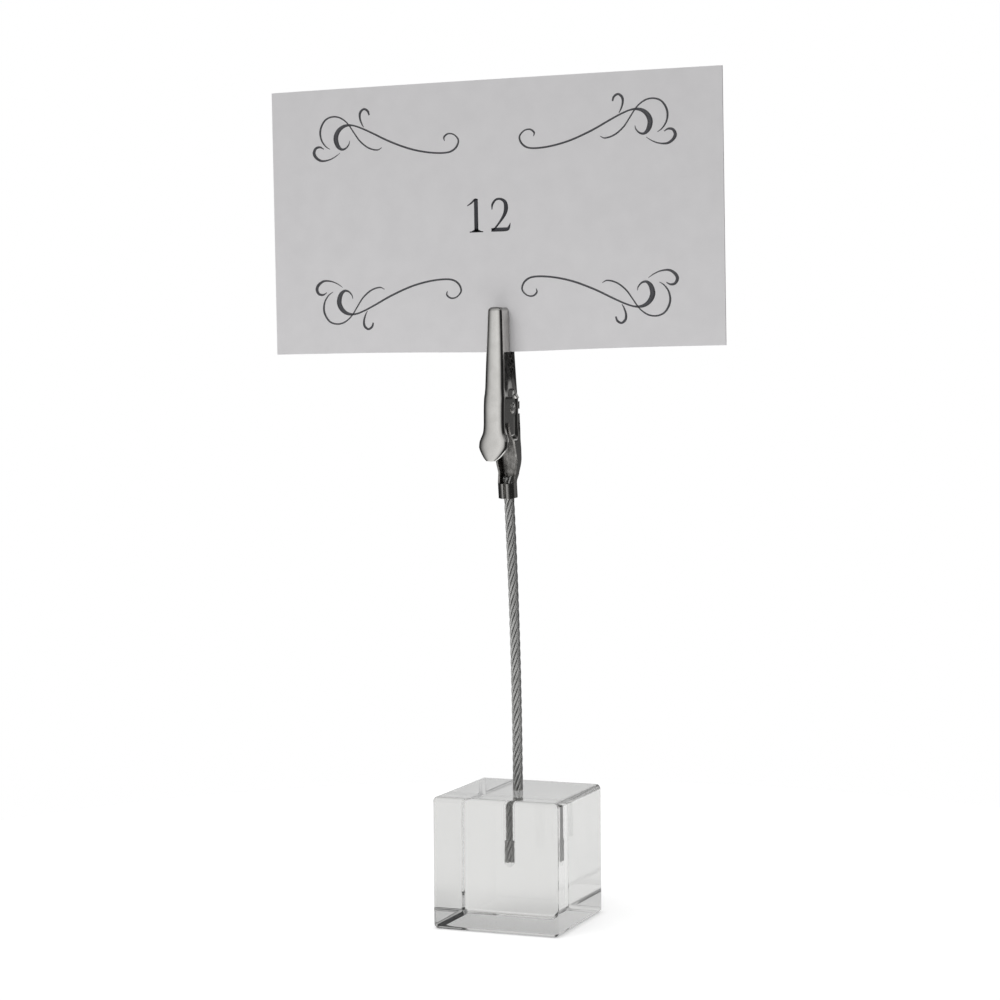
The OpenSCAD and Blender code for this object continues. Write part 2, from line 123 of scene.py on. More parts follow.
def curve_through(knots, x):
    """Value at x of a smooth curve through knots (x, value) that keeps between its neighbours."""
    if x <= knots[0][0]:
        return knots[0][1]
    if x >= knots[-1][0]:
        return knots[-1][1]
    xs, ys = [k[0] for k in knots], [k[1] for k in knots]
    slopes = [(ys[i + 1] - ys[i]) / (xs[i + 1] - xs[i]) for i in range(len(xs) - 1)]
    tangents = [slopes[0]]
    for a, b in zip(slopes, slopes[1:]):
        tangents.append(0.0 if a * b <= 0 else 2 * a * b / (a + b))
    tangents.append(slopes[-1])
    i = max(k for k in range(len(xs) - 1) if xs[k] <= x)
    w = xs[i + 1] - xs[i]
    t = (x - xs[i]) / w
    return ((1 + 2 * t) * (1 - t) ** 2 * ys[i] + t * (1 - t) ** 2 * w * tangents[i]
            + t * t * (3 - 2 * t) * ys[i + 1] + t * t * (t - 1) * w * tangents[i + 1])


def smooth_curve(points, steps):
    """Points of a Catmull-Rom curve through points of any size."""
    ends = [[2 * a - b for a, b in zip(points[0], points[1])],
            [2 * a - b for a, b in zip(points[-1], points[-2])]]
    p = [ends[0]] + [list(q) for q in points] + [ends[1]]
    out = []
    for i in range(1, len(p) - 2):
        for k in range(steps):
            t = k / steps
            out.append([0.5 * (2 * b + (c - a) * t + (2 * a - 5 * b + 4 * c - d) * t * t
                               + (3 * b - a - 3 * c + d) * t ** 3)
                        for a, b, c, d in zip(p[i - 1], p[i], p[i + 1], p[i + 2])])
    out.append(list(points[-1]))
    return out


def add_object(name, data):
    obj = bpy.data.objects.new(name, data)
    bpy.context.scene.collection.objects.link(obj)
    return obj


def new_object(name, bm):
    """Object from a bmesh in millimetres."""
    bmesh.ops.scale(bm, vec=(MM, MM, MM), verts=bm.verts)
    for face in bm.faces:
        face.smooth = True
    mesh = bpy.data.meshes.new(name)
    bm.to_mesh(mesh)
    bm.free()
    return add_object(name, mesh)


def apply_modifiers(obj):
    """Turns what the object's modifiers make into its mesh."""
    graph = bpy.context.evaluated_depsgraph_get()
    mesh = bpy.data.meshes.new_from_object(obj.evaluated_get(graph))
    old = obj.data
    obj.modifiers.clear()
    obj.data = mesh
    mesh.name = obj.name
    bpy.data.meshes.remove(old)


def add_modifier(obj, kind, **values):
    mod = obj.modifiers.new(kind.lower(), kind)
    for key, value in values.items():
        setattr(mod, key, value)


def subtract(obj, cutter):
    """Cuts a scratch object out of obj."""
    add_modifier(obj, "BOOLEAN", operation="DIFFERENCE", object=cutter, solver="EXACT")
    apply_modifiers(obj)
    bpy.data.objects.remove(cutter)


def grid_faces(bm, rows, skip=None, closed=False):
    """Faces between rows of vertices."""
    for j in range(len(rows) - 1):
        a, b = rows[j], rows[j + 1]
        count = len(a)
        for i in range(count if closed else count - 1):
            if skip and skip(j, i):
                continue
            k = (i + 1) % count
            bm.faces.new((a[i], a[k], b[k], b[i]))


def tube(bm, points, firsts, r, sides):
    """Round tube with flat ends through points. firsts gives a way across it at each."""
    rows = []
    last = len(points) - 1
    for i, point in enumerate(points):
        ahead = (points[min(i + 1, last)] - points[max(i - 1, 0)]).normalized()
        u = (firsts[i] - ahead * firsts[i].dot(ahead)).normalized()
        v = ahead.cross(u)
        rows.append([bm.verts.new(point + r * (math.cos(a) * u + math.sin(a) * v))
                     for a in turn_angles(sides)])
    grid_faces(bm, rows, closed=True)
    bm.faces.new(rows[0][::-1])
    bm.faces.new(rows[-1])


def lathe(bm, profile, sides):
    """Turns a profile of (radius, height) about Z. Points on the axis become one vertex."""
    rings = []
    for r, z in profile:
        if r < 1e-6:
            rings.append([bm.verts.new((0, 0, z))] * sides)
        else:
            rings.append([bm.verts.new((r * math.cos(a), r * math.sin(a), z))
                          for a in turn_angles(sides)])
    for low, high in zip(rings, rings[1:]):
        for i in range(sides):
            k = (i + 1) % sides
            corners = []
            for v in (low[i], low[k], high[k], high[i]):
                if v not in corners:
                    corners.append(v)
            if len(corners) > 2:
                bm.faces.new(corners)


def turned_on_rivet(profile, sides):
    """Bmesh of a profile of (radius, distance) turned about the rivet's axis."""
    bm = bmesh.new()
    lathe(bm, profile, sides)
    bmesh.ops.recalc_face_normals(bm, faces=bm.faces)
    bmesh.ops.rotate(bm, matrix=Matrix.Rotation(math.pi / 2, 3, "Y"), verts=bm.verts)
    bmesh.ops.translate(bm, vec=(0, GRIP_Y, PIVOT_Z), verts=bm.verts)
    return bm


def mark_sharp(obj, angle=35):
    """Keeps the edges sharp where two faces meet at more than angle degrees."""
    bm = bmesh.new()
    bm.from_mesh(obj.data)
    limit = math.radians(angle)
    for edge in bm.edges:
        if len(edge.link_faces) == 2 and edge.calc_face_angle(0) > limit:
            edge.smooth = False
    bm.to_mesh(obj.data)
    bm.free()


# Materials. A mix node's colour sockets go by number, because its kinds share their names.

MIX_A, MIX_B, MIX_OUT = 6, 7, 2
ACRYLIC_IOR = 1.49
# Heights in metres between which a dark reflection is painted into the plating of the noses, and
# what is left of the plating's colour
PAINTED_REFLECTION_START, PAINTED_REFLECTION_END, PAINTED_REFLECTION_VALUE = 0.1154, 0.1159, 0.34


def new_material(name):
    mat = bpy.data.materials.new(name)
    mat.use_nodes = True
    return mat, mat.node_tree, mat.node_tree.nodes["Principled BSDF"]


def noise(tree, scale, detail=2.0, stretch=(1, 1, 1)):
    """Factor of a noise in the object's own coordinates, scale in features per metre."""
    coords = tree.nodes.new("ShaderNodeTexCoord")
    mapping = tree.nodes.new("ShaderNodeMapping")
    mapping.inputs["Scale"].default_value = stretch
    tex = tree.nodes.new("ShaderNodeTexNoise")
    tex.inputs["Scale"].default_value = scale
    tex.inputs["Detail"].default_value = detail
    tree.links.new(coords.outputs["Object"], mapping.inputs["Vector"])
    tree.links.new(mapping.outputs["Vector"], tex.inputs["Vector"])
    return tex.outputs["Fac"]


def ramp(tree, source, low, high, start=0.3, end=0.7):
    """Colour ramp from low to high, grey values or colours."""
    node = tree.nodes.new("ShaderNodeValToRGB")
    for stop, place, value in zip(node.color_ramp.elements, (start, end), (low, high)):
        stop.position = place
        stop.color = (*value, 1) if isinstance(value, tuple) else (value, value, value, 1)
    tree.links.new(source, node.inputs["Fac"])
    return node.outputs["Color"]


def map_range(tree, source, start, end, low=0.0, high=1.0):
    """Number that runs from low to high as source runs from start to end."""
    node = tree.nodes.new("ShaderNodeMapRange")
    for name, value in (("From Min", start), ("From Max", end), ("To Min", low), ("To Max", high)):
        node.inputs[name].default_value = value
    tree.links.new(source, node.inputs["Value"])
    return node.outputs["Result"]


def vary(tree, shader, socket, grain, low, high, *places):
    """Lets a socket of the shader run from low to high with a grain."""
    tree.links.new(ramp(tree, grain, low, high, *places), shader.inputs[socket])


def bump(tree, shader, source, height):
    node = tree.nodes.new("ShaderNodeBump")
    node.inputs["Strength"].default_value = 1.0
    node.inputs["Distance"].default_value = height
    tree.links.new(source, node.inputs["Height"])
    tree.links.new(node.outputs["Normal"], shader.inputs["Normal"])


def metal(name, dark, light, rough_low, rough_high, scale, bump_height, stretch=(1, 1, 1)):
    """Metal with a grain in its colour, roughness and surface, scale in features per metre."""
    mat, tree, shader = new_material(name)
    shader.inputs["Metallic"].default_value = 1.0
    vary(tree, shader, "Base Color", noise(tree, scale * 0.3, 3), dark, light)
    vary(tree, shader, "Roughness", noise(tree, scale, 4, stretch), rough_low, rough_high)
    bump(tree, shader, noise(tree, scale * 2, 3, stretch), bump_height)
    return mat


def paint_reflection_on_tops(mat):
    """Painted dark reflection: the plating is made darker towards the tops of the closed noses."""
    tree = mat.node_tree
    base = tree.nodes["Principled BSDF"].inputs["Base Color"]
    plating = base.links[0].from_socket
    coords = tree.nodes.new("ShaderNodeTexCoord")
    split = tree.nodes.new("ShaderNodeSeparateXYZ")
    tree.links.new(coords.outputs["Object"], split.inputs["Vector"])
    near_top = map_range(tree, split.outputs["Z"], PAINTED_REFLECTION_START, PAINTED_REFLECTION_END)
    mix = tree.nodes.new("ShaderNodeMix")
    mix.data_type = "RGBA"
    mix.blend_type = "MULTIPLY"
    mix.inputs["Factor"].default_value = 1.0
    tree.links.new(plating, mix.inputs[MIX_A])
    tree.links.new(ramp(tree, near_top, 1.0, PAINTED_REFLECTION_VALUE, 0.0, 1.0), mix.inputs[MIX_B])
    tree.links.new(mix.outputs[MIX_OUT], base)


def clear_material(name, tint):
    mat, tree, shader = new_material(name)
    shader.inputs["Base Color"].default_value = (*tint, 1)
    shader.inputs["Transmission Weight"].default_value = 1.0
    shader.inputs["IOR"].default_value = ACRYLIC_IOR
    vary(tree, shader, "Roughness", noise(tree, 900, 4), 0.0, 0.02, 0.45, 0.8)
    bump(tree, shader, noise(tree, 120, 2), 2e-6)
    return mat


def wet_wall_material(name, haze):
    """Wall where cured glue meets acrylic: nothing bends there, and a little light scatters."""
    mat, tree, shader = new_material(name)
    shader.inputs["Base Color"].default_value = (0.9, 0.9, 0.87, 1)
    shader.inputs["Roughness"].default_value = 0.6
    see_through = tree.nodes.new("ShaderNodeBsdfTransparent")
    mix = tree.nodes.new("ShaderNodeMixShader")
    tree.links.new(ramp(tree, noise(tree, 2500, 3), 0.0, haze, 0.4, 0.75), mix.inputs["Fac"])
    tree.links.new(see_through.outputs["BSDF"], mix.inputs[1])
    tree.links.new(shader.outputs["BSDF"], mix.inputs[2])
    tree.links.new(mix.outputs["Shader"], tree.nodes["Material Output"].inputs["Surface"])
    return mat


def card_material(name):
    mat, tree, shader = new_material(name)
    fibres = noise(tree, 5200, 5, (1, 1, 2.2))
    vary(tree, shader, "Base Color", noise(tree, 260, 4),
         (0.785, 0.775, 0.785), (0.815, 0.805, 0.815))
    vary(tree, shader, "Roughness", fibres, 0.72, 0.86)
    shader.inputs["Specular IOR Level"].default_value = 0.25
    bump(tree, shader, fibres, 6e-6)
    return mat


def ink_material(name, dark, light, specular):
    mat, tree, shader = new_material(name)
    vary(tree, shader, "Base Color", noise(tree, 6000, 3), dark, light)
    vary(tree, shader, "Roughness", noise(tree, 3000, 2), 0.5, 0.7)
    shader.inputs["Specular IOR Level"].default_value = specular
    return mat


acrylic = clear_material("acrylic_clear", (0.62, 0.62, 0.61))
glue_clear = clear_material("glue_clear", (0.9, 0.9, 0.87))
wet_wall = wet_wall_material("glue_bond", 0.12)
nickel = metal("nickel_plate", (0.58, 0.57, 0.55), (0.65, 0.64, 0.62), 0.09, 0.18, 1800, 1e-6)
# Painted dark reflection on the tops of both jaws' noses
paint_reflection_on_tops(nickel)
# The sheets' inner faces: a rougher finish, and a dark colour that is painted shade inside the
# channels
shaded_inner_nickel = metal("nickel_inside_painted_shade", (0.14, 0.137, 0.13), (0.40, 0.39, 0.375), 0.2, 0.4,
                    3000, 3e-6, (1, 1, 0.25))
rivet_metal = metal("nickel_rivet", (0.68, 0.67, 0.65), (0.78, 0.77, 0.75), 0.18, 0.32,
                    2600, 2e-6)
wire_metal = metal("rope_wire_steel", (0.43, 0.43, 0.42), (0.56, 0.56, 0.55), 0.44, 0.58,
                   2200, 3e-6, (1, 1, 0.2))
spring_metal = metal("spring_wire_steel", (0.50, 0.49, 0.48), (0.62, 0.61, 0.60), 0.2, 0.34,
                     2600, 2e-6)
card_paper = card_material("card_paper")
print_ink = ink_material("print_ink", (0.035, 0.035, 0.04), (0.075, 0.075, 0.085), 0.3)
print_grey = ink_material("print_grey", (0.05, 0.05, 0.055), (0.11, 0.11, 0.12), 0.5)


def finish_piece(obj, body, slot, material, *nodes):
    """Gives a piece its body and material, and hides the nodes that it stands for. slot is not
    used.
    """
    if not obj.data.materials:
        obj.data.materials.append(material)
    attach(obj, body)
    if nodes:
        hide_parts(*nodes)


# Cube of clear acrylic with its drilled hole

BORE_SIDES = 96


def make_cube():
    bm = bmesh.new()
    bmesh.ops.create_cube(bm, size=BLOCK_SIDE)
    bmesh.ops.bevel(bm, geom=bm.edges[:], offset=BLOCK_EDGE_R, segments=8, profile=0.5,
                    affect="EDGES")
    bmesh.ops.translate(bm, vec=(0, 0, BLOCK_SIDE / 2), verts=bm.verts)
    cube = new_object("block", bm)
    bm = bmesh.new()
    bottom, wide = BLOCK_SIDE - BORE_DEPTH, BORE_R + 1.5 * MOUTH_EDGE
    lathe(bm, [(0, bottom - DRILL_POINT), (BORE_R, bottom), (BORE_R, GLUE_TOP),
               (BORE_R, BLOCK_SIDE - MOUTH_EDGE), (wide, BLOCK_SIDE + 0.5 * MOUTH_EDGE),
               (wide, BLOCK_SIDE + 1), (0, BLOCK_SIDE + 1)], BORE_SIDES)
    bmesh.ops.recalc_face_normals(bm, faces=bm.faces)
    subtract(cube, new_object("drill", bm))
    cube.data.materials.append(acrylic)
    cube.data.materials.append(wet_wall)
    mark_bore_and_normals(cube.data)
    finish_piece(cube, "holder", "clear_acrylic", acrylic, "base_cube")


def mark_bore_and_normals(mesh):
    """Gives the glued wall its material, and the cube and its hole the normals of true rounds."""
    half, inset = BLOCK_SIDE / 2, BLOCK_SIDE / 2 - BLOCK_EDGE_R
    normals = [None] * len(mesh.loops)
    for face in mesh.polygons:
        face.use_smooth = True
        c = face.center / MM
        in_bore = math.hypot(c.x, c.y) < BORE_R + 0.2 and c.z < BLOCK_SIDE - 0.001
        if in_bore and c.z < GLUE_TOP:
            face.material_index = 1
        for loop in face.loop_indices:
            p = mesh.vertices[mesh.loops[loop].vertex_index].co / MM
            if not in_bore:
                q = p - Vector((0, 0, half))
                out = q - Vector([max(-inset, min(inset, v)) for v in q])
                n = out.normalized() if out.length > 1e-6 else face.normal
            elif abs(face.normal.z) < 0.1:
                n = Vector((-p.x, -p.y, 0)).normalized()
            else:
                n = face.normal
            normals[loop] = n
    mesh.normals_split_custom_set(normals)


def make_glue():
    """Glue in the hole: walls that let light through unbent, and a hollow top round the rope."""
    bottom = BLOCK_SIDE - BORE_DEPTH
    bm = bmesh.new()
    outer, inner = BORE_R - GLUE_CLEAR, ROPE_R + GLUE_CLEAR
    top = [(blend(outer, inner, k / 6), GLUE_TOP - GLUE_DIP * math.sin(math.pi * k / 6))
           for k in range(7)]
    low = BLOCK_SIDE - STEM_EMBED - GLUE_ROOM
    lathe(bm, [(0, bottom - DRILL_POINT + GLUE_CLEAR), (outer, bottom)] + top
          + [(inner, low), (0, low)], BORE_SIDES)
    bmesh.ops.recalc_face_normals(bm, faces=bm.faces)
    glue = new_object("bore_glue", bm)
    glue.data.materials.append(wet_wall)
    glue.data.materials.append(glue_clear)
    for face in glue.data.polygons:
        if face.center.z / MM > GLUE_TOP - GLUE_DIP - GLUE_CLEAR and face.normal.z > 0.3:
            face.material_index = 1
    finish_piece(glue, "holder", "clear_glue", wet_wall, "bore_adhesive")


# Wire rope

STRAND_STEPS, CORE_STEPS = 260, 60


def stem_frame(s):
    """Point of the stem at length s, and the ways across and back there."""
    a = min(STEM_LEAN, max(0.0, s - STEM_EMBED) / ARC_R)
    past = max(0.0, s - STEM_EMBED - ARC_LEN)
    low = min(s, STEM_EMBED)
    y = -ARC_R * (1 - math.cos(a)) - past * math.sin(STEM_LEAN)
    z = BLOCK_SIDE - STEM_EMBED + low + ARC_R * math.sin(a) + past * math.cos(STEM_LEAN)
    return Vector((0, y, z)), Vector((1, 0, 0)), Vector((0, math.cos(a), math.sin(a)))


def make_rope():
    for wire in range(6):
        points, outs = [], []
        for k in range(STRAND_STEPS + 1):
            s = STEM_LEN * k / STRAND_STEPS
            phi = 2 * math.pi * (wire / 6 + s / LAY_LENGTH)
            point, across, back = stem_frame(s)
            out = math.cos(phi) * across + math.sin(phi) * back
            points.append(point + LAY_R * out)
            outs.append(out)
        bm = bmesh.new()
        tube(bm, points, outs, OUTER_R, 16)
        strand = new_object(f"rope_strand_{wire + 1}", bm)
        mark_sharp(strand)
        finish_piece(strand, "holder", "rope_wire", wire_metal, f"stem_outer_wire_{wire + 1}")
    bm = bmesh.new()
    stations = [stem_frame(STEM_LEN * k / CORE_STEPS) for k in range(CORE_STEPS + 1)]
    tube(bm, [s[0] for s in stations], [s[1] for s in stations], CORE_R, 20)
    core = new_object("rope_core", bm)
    mark_sharp(core)
    finish_piece(core, "holder", "rope_wire", wire_metal, "stem_core_wire")


# Clip. Sections are worked out in the clip's own frame: x across, y away from the card and h up
# from the pivot. These are the steps in each stretch of half a section, and the last column of the
# cross slots from the middle.

BEND, UPPER, SET_IN, LOWER = 18, 2, 4, 2
HALF = BEND + UPPER + SET_IN + LOWER
SLOT_COLUMN = BEND + 1
# Least step between two rows
LEAST_STEP = 0.02


def half_section(d, w, we, e, y0, y1, bend):
    """Outside of half a section, from the middle of its crest to its free edge.

    d is its depth, w and we its half width above and below, e its free edge, y0 and y1 the ends of
    the stretch where it is set in, and bend the height of its bend.
    """
    foot = d - bend
    points = []
    for i in range(BEND + 1):
        a = math.pi / 2 * (1 - i / BEND)
        points.append((w * math.cos(a) ** (2 / BEND_POWER),
                       foot + bend * math.sin(a) ** (2 / BEND_POWER)))
    points += [(w, blend(foot, y1, i / UPPER)) for i in range(1, UPPER + 1)]
    for i in range(1, SET_IN + 1):
        t = i / SET_IN
        points.append((blend(w, we, eased(t)), blend(y1, y0, t)))
    points += [(we, blend(y0, e, i / LOWER)) for i in range(1, LOWER + 1)]
    return points


def plain(d, w, e, e_base=None):
    """Numbers of a section with straight flanks. e_base is its edge before the teeth were cut."""
    e_base = e if e_base is None else e_base
    bend = min(BEND_H, 0.8 * (d - e_base))
    foot = d - bend
    return [d, w, w, e, blend(e, foot, 0.35), blend(e, foot, 0.7), bend]


def set_in(d, w, e):
    """Numbers of a section whose flanks go in between the front jaw's ears."""
    return [d, w, REAR_EAR, e, EAR_R + 0.6 * SHEET, EAR_R + 1.8 * SHEET, BEND_H]


def jaw_crest(h, depths):
    return blend(depths[0], depths[1], (max(h, 0) / JAW_LEN) ** CREST_POWER)


def jaw_half(h):
    low = EAR_R + SHEET
    return blend(ROOT_W, TIP_W, max((h - low) / (JAW_LEN - low), 0) ** SIDE_POWER) / 2


def tooth_edge(h, first):
    """Free edge of a jaw at height h, with V-shaped notches every pitch below the first."""
    nearest = min(abs(h - (first - i * TOOTH_PITCH)) for i in range(TOOTH_COUNT))
    return EDGE_GAP + TOOTH_HEIGHT * max(0.0, 1 - nearest / TOOTH_NOTCH)


def thinned(heights):
    """Sorted heights, with those that are nearly the same left out."""
    out = []
    for h in sorted(heights):
        if not out or h - out[-1] > LEAST_STEP:
            out.append(h)
    return out


def jaw_rows(first, depths, half=jaw_half):
    """Rows (h, numbers) of a jaw from its foot to the end of its nose."""
    foot, high = EAR_R + 2.5 * SHEET, JAW_LEN - NOSE_R
    heights = {foot, high} | {blend(foot, high, k / 14) for k in range(15)}
    for i in range(TOOTH_COUNT):
        centre = first - i * TOOTH_PITCH
        heights |= {centre + k * TOOTH_NOTCH / 2 for k in range(-2, 3)}
    rows = [(h, plain(jaw_crest(h, depths), half(h), tooth_edge(h, first), EDGE_GAP))
            for h in thinned(heights) if h <= high]
    nose = {high + NOSE_R * math.sin(math.pi / 2 * k / 9) for k in range(1, 10)}
    nose |= {h for h in heights if high < h < JAW_LEN}
    for h in thinned(nose):
        s = min(1.0, (h - high) / NOSE_R)
        shrink = NOSE_R * (1 - math.sqrt(1 - s * s))
        rows.append((h, plain(jaw_crest(high, depths) - 0.8 * shrink, half(high) - shrink,
                              tooth_edge(h, first), EDGE_GAP)))
    return rows


def sheet_object(name, rows, side, skip=None, extra=None):
    """Bent sheet from rows of sections. side is -1 in front of the card and 1 behind it."""
    bm = bmesh.new()
    grid = []
    for h, numbers in rows:
        half = half_section(*numbers)
        section = [(-x, y) for x, y in half[:0:-1]] + half
        grid.append([bm.verts.new((x, GRIP_Y + side * y, PIVOT_Z + h)) for x, y in section])
    if extra:
        extra(bm, grid[0])
    grid_faces(bm, grid, skip)
    bm.faces.new(grid[-1])
    bmesh.ops.recalc_face_normals(bm, faces=bm.faces)
    bm.faces.ensure_lookup_table()
    crest = max(bm.faces, key=lambda f: side * (f.calc_center_median().y - GRIP_Y))
    if crest.normal.y * side < 0:
        bmesh.ops.reverse_faces(bm, faces=bm.faces)
    obj = new_object(name, bm)
    obj.data.materials.append(nickel)
    obj.data.materials.append(shaded_inner_nickel)
    # The inner faces, and the rear jaw's rims, take the material whose dark colour is painted shade
    add_modifier(obj, "SOLIDIFY", thickness=SHEET * MM, offset=-1, use_even_offset=True,
                 use_quality_normals=True, material_offset=1, material_offset_rim=max(side, 0))
    apply_modifiers(obj)
    return obj


def drill_ears(obj, r):
    """Hole for the rivet through both ears of a jaw."""
    profile = [(0, -EAR_W), (r, -EAR_W), (r, EAR_W), (0, EAR_W)]
    subtract(obj, new_object("rivet_drill", turned_on_rivet(profile, 64)))


def soften(obj, width):
    """Broken edges, by width in millimetres."""
    add_modifier(obj, "BEVEL", width=width * MM, segments=2, limit_method="ANGLE",
                 angle_limit=math.radians(55), harden_normals=True)


# The lever's half width and rim, as shares of the paddle's, by the share of the way to its end
LEVER_HALF = [(0, 0.737), (0.1, 0.75), (0.25, 0.79), (0.4, 0.92), (0.52, 1.0), (0.62, 1.0),
              (0.72, 0.91), (0.83, 0.73), (0.93, 0.53), (1, 0.33)]
LEVER_RIM = [(0, 2.328), (0.1, 1.3), (0.25, 1.1), (0.4, 1.05), (0.52, 1), (0.72, 1), (0.83, 0.9),
             (0.93, 0.75), (1, 0.6)]
LEVER_STEPS = 28


def lever_crest(h):
    """Depth of the lever's crest: level down to the knee, then flaring out."""
    return FRONT_ROOT + LEVER_FLARE * (max(-h - KNEE, 0) / (LEVER_LEN - KNEE)) ** 1.5


def front_crest(h):
    """Crest of the front jaw at its ears: the jaw's own curve, eased into the lever."""
    upper = jaw_crest(max(h, CREST_START), (FRONT_ROOT, FRONT_TIP))
    return blend(FRONT_ROOT, upper, eased(clamped((h + EAR_R) / (3 * EAR_R))))


def front_half(h):
    """Half width of the front jaw: it widens softly to its ears."""
    return blend(EAR_W / 2, jaw_half(h), eased(clamped((h - EAR_R) / WIDENING_H)))


def make_front_jaw():
    rows = []
    for k in range(LEVER_STEPS + 1):
        s = 1 - k / LEVER_STEPS
        h = -blend(EAR_FOOT, LEVER_LEN, s)
        d = lever_crest(h)
        w = PADDLE_W / 2 * curve_through(LEVER_HALF, s)
        rows.append((h, plain(d, w, d - RIM_DEPTH * curve_through(LEVER_RIM, s))))
    half = EAR_W / 2
    low_ear = -EAR_R * math.sin(math.pi / 3)
    for k in range(1, 5):
        h = blend(-EAR_FOOT, low_ear, k / 5)
        edge = blend(0.4 * FRONT_ROOT, -EAR_R / 2, k / 5)
        rows.append((h, plain(FRONT_ROOT, half, edge)))
    for k in range(17):
        a = math.radians(-60 + 7.5 * k)
        h = EAR_R * math.sin(a)
        rows.append((h, plain(front_crest(h), half, -EAR_R * math.cos(a))))
    for k in range(4):
        h = EAR_R + 0.6 * SHEET * k
        rows.append((h, plain(front_crest(h), front_half(h), EDGE_GAP)))
    first = JAW_LEN - SHEET - TOOTH_PITCH / 2
    jaw = jaw_rows(first, (FRONT_ROOT, FRONT_TIP), front_half)
    for h, numbers in jaw:
        t = clamped((NECK_TOP - h) / (NECK_TOP - EAR_R))
        numbers[2] += NECK_SPREAD * math.sin(math.pi * t) * (0.4 + 0.6 * t)
    obj = sheet_object("jaw_front", rows + jaw, -1)
    drill_ears(obj, RIVET_R + RIVET_GAP)
    soften(obj, SHEET_EDGE)
    finish_piece(obj, "front_jaw_body", "nickel_plate", nickel, "front_jaw")


# The tail's depth and half width, by the share of the way from the crimp up to the ears
TAIL_TOP, TAIL_LOW = -EAR_FOOT, -(TAIL_LEN - CRIMP_LEN)
TAIL_D = [(0.16, 0.95 * TAIL_DEPTH), (0.33, TAIL_DEPTH), (0.39, TAIL_DEPTH),
          (0.55, 0.98 * TAIL_DEPTH), (0.7, 0.93 * TAIL_DEPTH),
          (0.8, blend(TAIL_DEPTH, REAR_ROOT, 0.8)), (1, REAR_ROOT + SHEET / 2)]
TAIL_HALF = [(0.16, 1.8), (0.33, 2.14), (0.39, 2.2), (0.55, 2.2), (0.7, 2.178), (0.8, 2.2),
             (1, 2.1)]
# Angle on the crimp's round at which its wings leave its back
WING_START = math.asin(-1 / 3)


def tail_edge(h):
    ear_h, open_h = -EAR_R / 2, -0.587 * TAIL_LEN
    edge = blend(-EAR_R * math.cos(math.pi / 6), 0.4 * TAIL_DEPTH,
                 clamped((ear_h - h) / (ear_h - open_h)))
    return edge + TAIL_PINCH * clamped((open_h - h) / PINCH_H)


def crimp_point(x, y, z):
    """Point of the crimp, leaning with the stem: x and y from its axis, z up from its foot."""
    set_back = CRIMP_R - SHEET - ROPE_R - SNUG
    turned = Matrix.Rotation(STEM_LEAN, 3, "X") @ Vector((x, y - set_back, z))
    return turned + Vector((0, FOOT_Y, FOOT_Z))


def round_points(r, angles, x=0.0, y=0.0):
    return [(x + r * math.cos(a), y + r * math.sin(a)) for a in angles]


def crimp_wing():
    """Path of the right wing from the tail's edge round to the rope, in the crimp's plane."""
    centre = SNUG + WING_R
    reach = math.sqrt((CRIMP_R - WING_R) ** 2 - centre ** 2)
    meet = math.atan2(-reach, centre)
    path = round_points(CRIMP_R, [blend(WING_START, meet, k / 8) for k in range(1, 9)])
    path += round_points(WING_R, [blend(meet, -math.pi, k / 6) for k in range(1, 7)],
                         centre, -reach)
    lip_end = CRIMP_R - SHEET - 2 * ROPE_R - 2 * SNUG
    return path + [(SNUG, blend(-reach, lip_end, k / 2)) for k in (1, 2)]


